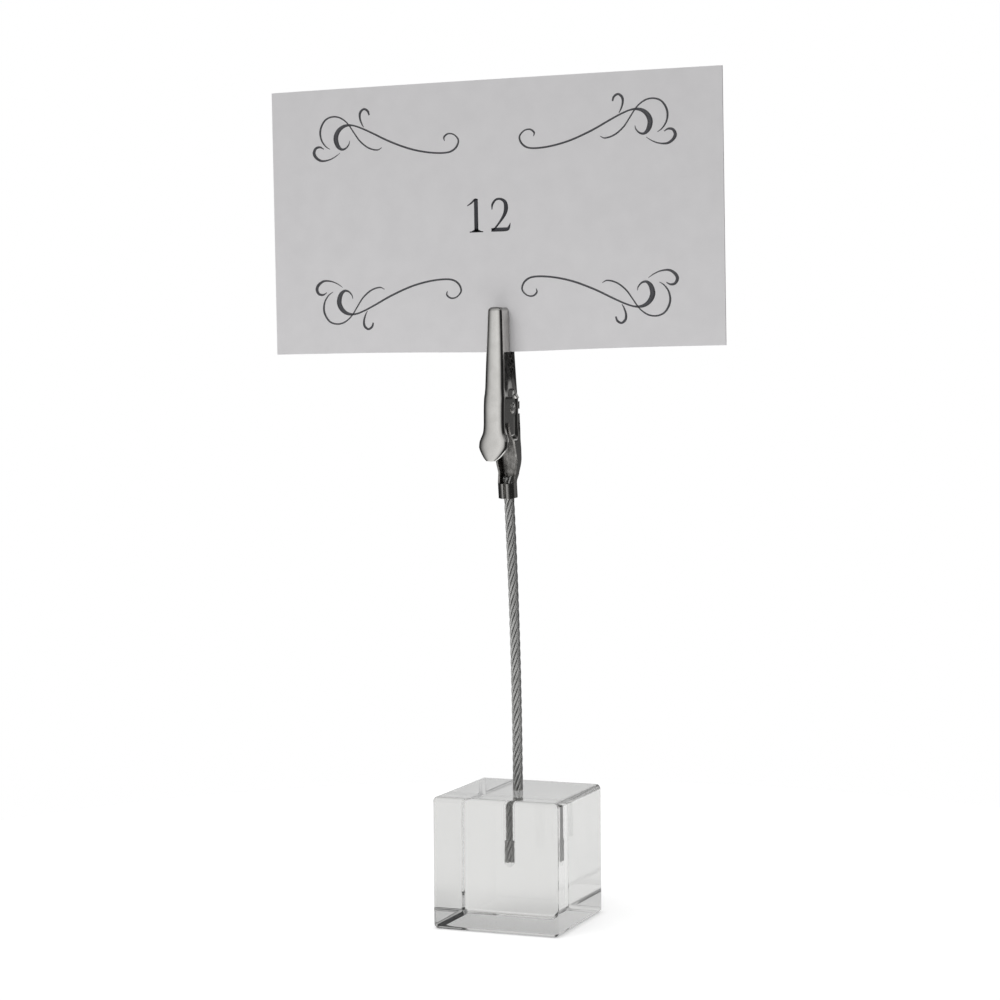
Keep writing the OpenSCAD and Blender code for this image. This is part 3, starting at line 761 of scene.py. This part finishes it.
def make_rear_jaw():
    def between(a, b, t):
        return [blend(p, q, t) for p, q in zip(a, b)]

    def tail_numbers(s):
        h = blend(TAIL_LOW, TAIL_TOP, s)
        d, w = curve_through(TAIL_D, s), curve_through(TAIL_HALF, s)
        flat, neck = plain(d, w, tail_edge(h)), set_in(d, w, tail_edge(h))
        return h, between(flat, neck, eased(clamped((s - 0.7) / 0.1)))

    shares = [blend(0.16, 0.33, k / 6) for k in range(6)]
    shares += [blend(0.33, 0.39, k / 4) for k in range(4)]
    shares += [blend(0.39, 1, k / 30) for k in range(31)]
    rows = [tail_numbers(s) for s in shares]
    slots = [(0.87 * EAR_R, 1.8 * SHEET), (-0.35 * EAR_R, 2.5 * SHEET)]
    heights = {blend(TAIL_TOP, -EAR_R / 2, k / 6) for k in range(1, 6)} | {EAR_R}
    heights |= {h + side * size / 2 for h, size in slots for side in (-1, 1)}
    heights |= {EAR_R * math.sin(math.radians(-30 + 7.5 * k)) for k in range(13)}
    first = JAW_LEN - SHEET - TOOTH_PITCH
    jaw = jaw_rows(first, (REAR_ROOT, REAR_TIP))
    foot, foot_numbers = jaw[0]
    top_ear = EAR_R * math.sin(math.pi / 3)
    for h in thinned(heights):
        d = REAR_ROOT + SHEET / 2 * max(0, (-EAR_R / 2 - h) / (-EAR_R / 2 - TAIL_TOP))
        if h < -EAR_R / 2:
            e = tail_edge(h)
        elif h <= top_ear + 0.001:
            e = -math.sqrt(EAR_R ** 2 - h * h)
        else:
            e = blend(-EAR_R / 2, EDGE_GAP, clamped((h - top_ear) / (EAR_R - top_ear)))
        section = set_in(d, EAR_W / 2, e)
        if h > EAR_R:
            section = between(section, foot_numbers, (h - EAR_R) / (foot - EAR_R))
        rows.append((h, section))
    for t in (0.3, 0.5, 0.75):
        section = between(set_in(REAR_ROOT, EAR_W / 2, EDGE_GAP), foot_numbers, t)
        rows.append((blend(EAR_R, foot, t), section))
    rows.sort(key=lambda row: row[0])
    for h, numbers in jaw:
        t = eased(clamped((h - EAR_R) / (NECK_TOP - EAR_R)))
        neck = set_in(numbers[0], numbers[1], numbers[3])
        for i in (2, 4, 5):
            numbers[i] = blend(neck[i], numbers[i], t)
    rows += jaw

    def in_slot(j, i):
        middle = (rows[j][0] + rows[j + 1][0]) / 2
        column = i + 0.5 - HALF
        return (abs(column) < SLOT_COLUMN
                and any(abs(middle - h) < size / 2 for h, size in slots))

    def add_crimp(bm, foot_row):
        """Joins the tail to the crimp, whose back carries on from it and whose wings are free."""
        right = round_points(CRIMP_R, [blend(math.pi / 2, WING_START, k / HALF)
                                       for k in range(HALF + 1)])
        arc = [(-x, y) for x, y in right[:0:-1]] + right
        wing = crimp_wing()
        full = [(-x, y) for x, y in wing[::-1]] + arc + wing
        crimp_rows = [[bm.verts.new(crimp_point(x, y, CRIMP_LEN * (1 - k / 8))) for x, y in full]
                      for k in range(9)]
        grid_faces(bm, crimp_rows[::-1])
        joint = crimp_rows[0][len(wing):len(wing) + len(arc)]
        joint_rows = [joint]
        for k in range(1, 7):
            t = k / 7
            joint_rows.append([bm.verts.new(a.co.lerp(b.co, eased(t)) * Vector((1, 1, 0))
                                            + Vector((0, 0, blend(a.co.z, b.co.z, t))))
                               for a, b in zip(joint, foot_row)])
        grid_faces(bm, joint_rows + [foot_row])

    obj = sheet_object("jaw_rear", rows, 1, in_slot, add_crimp)
    drill_ears(obj, RIVET_R)
    soften(obj, SHEET_EDGE)
    finish_piece(obj, "holder", "nickel_plate", nickel, "rear_jaw")


# Height of the lip round the rivet's heads, and how far the pin stays clear of its hole's wall
RIVET_LIP, RIVET_CLEAR = 0.06, 0.005


def make_rivet():
    dome = (RIVET_HEAD_R ** 2 + RIVET_HEAD_H ** 2) / (2 * RIVET_HEAD_H)
    face = EAR_W / 2 + SNUG
    span = math.asin(RIVET_HEAD_R / dome)
    head = [(dome * math.sin(a), face + RIVET_HEAD_H - dome + dome * math.cos(a))
            for a in (span * k / 10 for k in range(11))]
    head[0] = (0, face + RIVET_HEAD_H)
    head[-1:] = [(RIVET_HEAD_R - RIVET_LIP / 2, face + RIVET_LIP), (RIVET_HEAD_R - RIVET_LIP, face)]
    profile = head + [(RIVET_R - RIVET_CLEAR, face)]
    profile += [(r, -z) for r, z in profile[::-1]]
    rivet = new_object("rivet", turned_on_rivet(profile, 48))
    mark_sharp(rivet, 40)
    finish_piece(rivet, "holder", "nickel_rivet", rivet_metal, "pivot_rivet")


CURL_STEPS, LEG_STEPS = 110, 8


def make_spring():
    """One wire: leg in the lever, curls round the rivet, leg in the tail.

    It winds up as the jaw opens.
    """
    leg_h = 0.62 * LEVER_LEN
    clear = SPRING_R + CROWN
    front = Vector((lever_crest(-leg_h) - SHEET - clear, -leg_h))
    rear = Vector((-(REAR_ROOT - SHEET - clear), -leg_h))

    def leaving(p, side):
        return math.atan2(p.y, p.x) + side * math.acos(CURL_R / p.length)

    start, end = leaving(front, 1), leaving(rear, -1) + 6 * math.pi
    span = (end - start) / (2 * math.pi) * (2 * SPRING_R + SPRING_GAP)
    curls = []
    for k in range(CURL_STEPS + 1):
        a = blend(start, end, k / CURL_STEPS)
        curls.append((span * (k / CURL_STEPS - 0.5), CURL_R * math.cos(a), CURL_R * math.sin(a)))

    def leg(a, b, steps):
        return [[blend(p, q, k / LEG_STEPS) for p, q in zip(a, b)] for k in steps]

    path = (leg((-span / 2, front.x, front.y), curls[0], range(LEG_STEPS)) + curls
            + leg(curls[-1], (span / 2, rear.x, rear.y), range(1, LEG_STEPS + 1)))
    points = [Vector((x, GRIP_Y - y, PIVOT_Z + z)) for x, y, z in path]
    bm = bmesh.new()
    tube(bm, points, [Vector((1, 0, 0))] * len(points), SPRING_R, 12)
    spring = new_object("spring", bm)
    mark_sharp(spring)
    spring.data.materials.append(spring_metal)
    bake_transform(spring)
    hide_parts("torsion_spring")


# Card and its print


def card_point(u, v, depth):
    """Point of the card u from its left end, v from its lower edge, depth behind its front."""
    x = u - CARD_W / 2 - CARD_SHIFT
    away = max(0.0, abs(x) - CARD_FLAT) / (CARD_W / 2)
    y = GRIP_Y - CARD_T / 2 + depth + CARD_BOW * away ** 2
    v -= CARD_DIP * math.exp(-(x / DIP_W) ** 2) * max(0.0, 1 - v / DIP_H)
    return Vector((x * math.cos(CARD_ROLL) - v * math.sin(CARD_ROLL), y,
                   CARD_LOW + x * math.sin(CARD_ROLL) + v * math.cos(CARD_ROLL)))


def make_card():
    def rim(rows):
        return (rows[0] + [row[-1] for row in rows[1:]] + rows[-1][-2::-1]
                + [row[0] for row in rows[-2:0:-1]])

    bm = bmesh.new()
    nx, nz = 90, 10
    front, back = [[[bm.verts.new(card_point(CARD_W * i / nx, CARD_H * k / nz, depth))
                     for i in range(nx + 1)] for k in range(nz + 1)] for depth in (0, CARD_T)]
    grid_faces(bm, front)
    grid_faces(bm, [row[::-1] for row in back])
    grid_faces(bm, [rim(back), rim(front)], closed=True)
    bmesh.ops.recalc_face_normals(bm, faces=bm.faces)
    card = new_object("name_card", bm)
    add_modifier(card, "BEVEL", width=CARD_EDGE * MM, segments=2, limit_method="ANGLE",
                 angle_limit=math.radians(50), harden_normals=True)
    finish_piece(card, "card_body", "card_stock", card_paper, "card")


def stroke(bm, points, steps=8, turn=None):
    """Ribbon of ink through points (u, v, width)."""
    path = smooth_curve(points, steps)
    rows = []
    last = len(path) - 1
    for i, (u, v, w) in enumerate(path):
        a, b = path[max(i - 1, 0)], path[min(i + 1, last)]
        along = Vector((b[0] - a[0], b[1] - a[1])).normalized()
        side = Vector((-along.y, along.x)) * max(w, 0.05) / 2
        corners = [(u + side.x, v + side.y, -INK_LIFT), (u - side.x, v - side.y, -INK_LIFT),
                   (u - side.x, v - side.y, INK_SINK), (u + side.x, v + side.y, INK_SINK)]
        if turn:
            corners = [(*turn(p[0], p[1]), p[2]) for p in corners]
        rows.append([bm.verts.new(card_point(*p)) for p in corners])
    grid_faces(bm, rows, closed=True)
    bm.faces.new(rows[0][::-1])
    bm.faces.new(rows[-1])


# One scroll ornament, top right. The other three are its mirror images, the lower two a little up.
SCROLL_RAISE = 0.4
SCROLL = {
    "tendril": [(53.9, 39.1, 0.12), (54.0, 39.8, 0.34), (53.2, 40.4, 0.3), (52.0, 40.2, 0.26),
                (51.1, 39.1, 0.34), (51.7, 37.7, 0.38), (53.4, 36.95, 0.34), (56.9, 37.1, 0.34),
                (61.0, 38.0, 0.36), (65.2, 39.6, 0.36), (68.7, 41.3, 0.34), (71.1, 42.4, 0.32),
                (73.0, 43.0, 0.34), (74.6, 42.9, 0.6), (75.8, 42.1, 0.86), (76.4, 40.8, 1.0),
                (76.1, 39.4, 0.86), (75.3, 38.6, 0.5), (74.4, 38.7, 0.34), (73.7, 39.4, 0.24),
                (73.5, 40.1, 0.1)],
    "loop": [(66.8, 38.5, 0.1), (67.8, 38.1, 0.26), (69.6, 38.6, 0.3), (71.3, 39.9, 0.3),
             (72.5, 41.5, 0.26), (73.4, 42.8, 0.26), (74.3, 43.8, 0.26), (75.6, 44.6, 0.3),
             (77.1, 44.8, 0.3), (78.5, 44.3, 0.34), (79.4, 43.1, 0.4), (79.7, 41.8, 0.4),
             (79.4, 40.4, 0.32), (78.6, 39.3, 0.24), (77.7, 38.7, 0.1)],
    "hook": [(79.0, 38.8, 0.14), (79.8, 39.2, 0.36), (80.7, 39.0, 0.5), (81.1, 38.1, 0.62),
             (80.6, 37.2, 0.56), (79.5, 36.6, 0.4), (78.0, 36.7, 0.26), (76.7, 37.2, 0.2),
             (75.6, 37.9, 0.08)],
    "leaf": [(69.3, 44.7, 0.3), (69.6, 45.5, 0.42), (70.4, 45.9, 0.4), (71.15, 45.3, 0.48),
             (71.25, 44.3, 0.4), (70.9, 43.2, 0.28), (70.5, 42.5, 0.14)],
}


def mirrored(flip_u, flip_v):
    """Function that turns a point of the scroll at the top right into one of another scroll."""
    def turn(u, v):
        return CARD_W - u if flip_u else u, CARD_H + SCROLL_RAISE - v if flip_v else v
    return turn


def finish_print(name, bm, material):
    bmesh.ops.recalc_face_normals(bm, faces=bm.faces)
    finish_piece(new_object(name, bm), "card_body", "card_stock", material)


def make_print():
    for name, flip_u, flip_v in (("top_right", 0, 0), ("top_left", 1, 0),
                                 ("low_right", 0, 1), ("low_left", 1, 1)):
        bm = bmesh.new()
        for points in SCROLL.values():
            stroke(bm, points, turn=mirrored(flip_u, flip_v))
        finish_print(f"scroll_{name}", bm, print_grey)

    # Table number 12: its digits' middles, foot and height
    one, two, base, high = 42.2, 47.0, 21.9, 6.2
    bm = bmesh.new()
    stroke(bm, [(one, base + 0.15, 0.8), (one, base + high * 0.5, 0.78),
                (one, base + high, 0.78)], 2)
    stroke(bm, [(one - 1.75, base + high * 0.8, 0.14), (one - 0.95, base + high * 0.88, 0.3),
                (one - 0.2, base + high - 0.12, 0.34), (one + 0.3, base + high - 0.06, 0.12)], 5)
    stroke(bm, [(one - 1.35, base + 0.1, 0.2), (one + 1.35, base + 0.1, 0.2)], 2)
    for side in (-1, 1):
        stroke(bm, [(one + side * 1.0, base + 0.16, 0.1), (one + side * 0.42, base + 0.3, 0.36),
                    (one, base + 0.4, 0.8)], 4)
    stroke(bm, [(two - 1.62, base + high * 0.66, 0.14), (two - 1.5, base + high * 0.82, 0.42),
                (two - 0.8, base + high * 0.95, 0.4), (two + 0.1, base + high * 0.965, 0.42),
                (two + 0.95, base + high * 0.88, 0.66), (two + 1.2, base + high * 0.7, 0.82),
                (two + 0.85, base + high * 0.5, 0.66), (two - 0.1, base + high * 0.28, 0.4),
                (two - 1.1, base + high * 0.1, 0.32), (two - 1.7, base + 0.3, 0.3)], 6)
    stroke(bm, [(two - 1.8, base + 0.34, 0.66), (two - 0.4, base + 0.36, 0.72),
                (two + 0.9, base + 0.36, 0.72), (two + 1.5, base + 0.45, 0.6),
                (two + 1.78, base + 0.9, 0.4), (two + 2.0, base + 1.5, 0.1)], 5)
    finish_print("table_number", bm, print_ink)


# Camera, fitted to the corners of the card and of the cube: its turn, rise and roll, then in
# millimetres the height that it aims at, its place off that line and how far away it is

AZIMUTH, ELEVATION, ROLL = math.radians(21.813), math.radians(3.0468), math.radians(-0.4475)
AIM_HEIGHT, OFF_RIGHT, OFF_UP, DISTANCE = 80, -2.9738, 0.0474, 494.664
LENS, SENSOR_WIDTH, CLIP_START = 94.443, 36, 0.01


def make_camera():
    back = Vector((math.sin(AZIMUTH) * math.cos(ELEVATION),
                   -math.cos(AZIMUTH) * math.cos(ELEVATION), math.sin(ELEVATION)))
    right = Vector((math.cos(AZIMUTH), math.sin(AZIMUTH), 0))
    up = back.cross(right)
    turned_right = math.cos(ROLL) * right + math.sin(ROLL) * up
    turned_up = -math.sin(ROLL) * right + math.cos(ROLL) * up
    place = (Vector((0, 0, AIM_HEIGHT)) + OFF_RIGHT * turned_right + OFF_UP * turned_up
             + DISTANCE * back)
    data = bpy.data.cameras.new("camera")
    data.sensor_width = SENSOR_WIDTH
    data.lens = LENS
    data.clip_start = CLIP_START
    camera = add_object("camera", data)
    axes = Matrix((turned_right, turned_up, back)).transposed().to_4x4()
    camera.matrix_world = Matrix.Translation(place * MM) @ axes
    bpy.context.scene.camera = camera


# Floor, in metres: a plain pale board that is lit from below as well, as on a light table. Its glow
# is weaker under the cube, a painted shadow of the cube, and grows a little to the back, painted
# light: from where to where, and what values.

FLOOR_R, FLOOR_SIDES, FLOOR_Z = 0.165, 64, -0.00002
PAINTED_CUBE_SHADOW, PAINTED_GLOW_TO_BACK = (0.0118, 0.0134, 0.62, 1.0), (-0.02, 0.04, 0.62, 0.78)


def make_floor():
    bm = bmesh.new()
    bm.faces.new([bm.verts.new((FLOOR_R * math.cos(a), FLOOR_R * math.sin(a), FLOOR_Z))
                  for a in turn_angles(FLOOR_SIDES)])
    mesh = bpy.data.meshes.new("floor")
    bm.to_mesh(mesh)
    bm.free()
    mat, tree, shader = new_material("floor_board")
    shader.inputs["Base Color"].default_value = (0.85, 0.85, 0.85, 1)
    shader.inputs["Roughness"].default_value = 0.9
    shader.inputs["Emission Strength"].default_value = 1.0
    spot = tree.nodes.new("ShaderNodeTexCoord").outputs["Object"]
    size = tree.nodes.new("ShaderNodeVectorMath")
    size.operation = "ABSOLUTE"
    tree.links.new(spot, size.inputs[0])
    sizes = tree.nodes.new("ShaderNodeSeparateXYZ")
    tree.links.new(size.outputs["Vector"], sizes.inputs["Vector"])
    reach = tree.nodes.new("ShaderNodeMath")
    reach.operation = "MAXIMUM"
    tree.links.new(sizes.outputs["X"], reach.inputs[0])
    tree.links.new(sizes.outputs["Y"], reach.inputs[1])
    spot_parts = tree.nodes.new("ShaderNodeSeparateXYZ")
    tree.links.new(spot, spot_parts.inputs["Vector"])
    glow = tree.nodes.new("ShaderNodeMath")
    glow.operation = "MULTIPLY"
    # Painted shadow: the glow is dimmed over the cube's foot, and painted light raises it towards
    # the back
    tree.links.new(map_range(tree, reach.outputs["Value"], *PAINTED_CUBE_SHADOW), glow.inputs[0])
    tree.links.new(map_range(tree, spot_parts.outputs["Y"], *PAINTED_GLOW_TO_BACK), glow.inputs[1])
    tree.links.new(glow.outputs["Value"], shader.inputs["Emission Color"])
    mesh.materials.append(mat)
    floor = add_object("floor", mesh)


# Lamp: a large soft one to the front left and above, out of the metal's reflections. Its size and
# aim are in metres and radians.

LAMP_SIZE, LAMP_POWER, LAMP_AIM = 0.9, 2.4, 0.12
LAMP_TURN, LAMP_RISE = math.radians(40), 0.6


def make_lamp():
    data = bpy.data.lights.new("key", "AREA")
    data.shape = "SQUARE"
    data.size = LAMP_SIZE
    data.energy = LAMP_POWER
    lamp = add_object("key", data)
    way = Vector((0, -math.cos(LAMP_RISE), math.sin(LAMP_RISE)))
    toward = Matrix.Rotation(AZIMUTH - LAMP_TURN, 3, "Z") @ way
    lamp.location = Vector((0, 0, LAMP_AIM)) + toward
    lamp.rotation_euler = toward.to_track_quat("Z", "Y").to_euler()
    lamp.visible_glossy = False
    lamp.visible_transmission = False


# World: a white sheet behind, soft boxes to the front left and overhead, and dark sides that the
# metal reflects. Stops are (degrees to the right of the way from object to camera, brightness).

FRONT = [(-105, 0.03), (-88, 0.1), (-74, 0.32), (-60, 0.62), (-43, 0.92), (-28, 1.0), (-6, 0.72),
         (8, 0.2), (18, 0.02), (76, 0.02)]
RIGHT = [(90, 0.16), (114, 0.14), (126, 0.012), (160, 0.012)]
LOW_RIGHT = [(90, 0.16), (114, 0.14), (128, 0.1), (160, 0.1)]
RISING_RIGHT = [(90, 0.2), (120, 0.45), (160, 0.45)]
BRIGHT_RIGHT = [(90, 0.16), (114, 0.3), (128, 0.65), (160, 0.75)]
BELOW = [(-60, 0.02), (-30, 0.08), (-10, 0.12), (10, 0.03), (100, 0.03), (118, 0.35), (162, 0.4)]
OVERHEAD = [(-180, 0.04), (-130, 0.04), (-95, 0.6), (-60, 1.1), (-10, 1.1), (20, 0.8), (60, 0.1),
            (180, 0.04)]


def left_sheet(value):
    """Stops of the white sheet from straight behind the object to its left edge."""
    return [(-180, value), (-168, value), (-160, 0.03)]


def ring(value, middle):
    """Stops all round, with both parts of the white sheet."""
    return left_sheet(value) + middle + [(168, value), (180, value)]


# From below upwards, the rings of stops and the heights between which each takes over
BANDS = [(-0.34, -0.2, ring(1.06, FRONT + LOW_RIGHT)),
         (-0.012, 0.004, ring(1.06, FRONT + RIGHT)),
         (0.05, 0.07, ring(0.95, FRONT + RISING_RIGHT)),
         (0.13, 0.16, left_sheet(0.8) + FRONT + BRIGHT_RIGHT + [(180, 0.8)]),
         (0.22, 0.25, ring(0.8, FRONT + RIGHT)),
         (0.45, 0.75, OVERHEAD)]


def make_world():
    world = bpy.data.worlds.new("studio")
    bpy.context.scene.world = world
    world.use_nodes = True
    tree = world.node_tree
    way = tree.nodes.new("ShaderNodeTexCoord").outputs["Generated"]
    turn = tree.nodes.new("ShaderNodeMath")
    turn.operation = "ARCTAN2"
    axes = ((math.cos(AZIMUTH), math.sin(AZIMUTH), 0), (math.sin(AZIMUTH), -math.cos(AZIMUTH), 0))
    for socket, axis in enumerate(axes):
        dot = tree.nodes.new("ShaderNodeVectorMath")
        dot.operation = "DOT_PRODUCT"
        dot.inputs[1].default_value = axis
        tree.links.new(way, dot.inputs[0])
        tree.links.new(dot.outputs["Value"], turn.inputs[socket])
    around = map_range(tree, turn.outputs["Value"], -math.pi, math.pi)
    height = tree.nodes.new("ShaderNodeSeparateXYZ")
    tree.links.new(way, height.inputs["Vector"])

    def levels(stops):
        """Brightness by direction round the object."""
        node = tree.nodes.new("ShaderNodeValToRGB")
        elements = node.color_ramp.elements
        while len(elements) < len(stops):
            elements.new(0.5)
        for element, (where, value) in zip(elements, stops):
            element.position = (where + 180) / 360
            element.color = (value, value, value, 1)
        tree.links.new(around, node.inputs["Fac"])
        return node.outputs["Color"]

    def mixed(factor, first):
        """Mix node from the colour first to a second, which its caller sets."""
        node = tree.nodes.new("ShaderNodeMix")
        node.data_type = "RGBA"
        tree.links.new(factor, node.inputs["Factor"])
        tree.links.new(first, node.inputs[MIX_A])
        return node

    room = levels(ring(1.06, BELOW))
    for low, high, stops in BANDS:
        mix = mixed(map_range(tree, height.outputs["Z"], low, high), room)
        tree.links.new(levels(stops), mix.inputs[MIX_B])
        room = mix.outputs[MIX_OUT]
    paths = tree.nodes.new("ShaderNodeLightPath")
    mix = mixed(paths.outputs["Is Camera Ray"], room)
    mix.inputs[MIX_B].default_value = (1, 1, 1, 1)
    tree.links.new(mix.outputs[MIX_OUT], tree.nodes["Background"].inputs["Color"])


make_cube()
make_glue()
make_rope()
make_front_jaw()
make_rear_jaw()
make_rivet()
make_spring()
make_card()
make_print()
make_camera()
make_floor()
make_lamp()
make_world()
bpy.context.scene.view_settings.view_transform = "Standard"
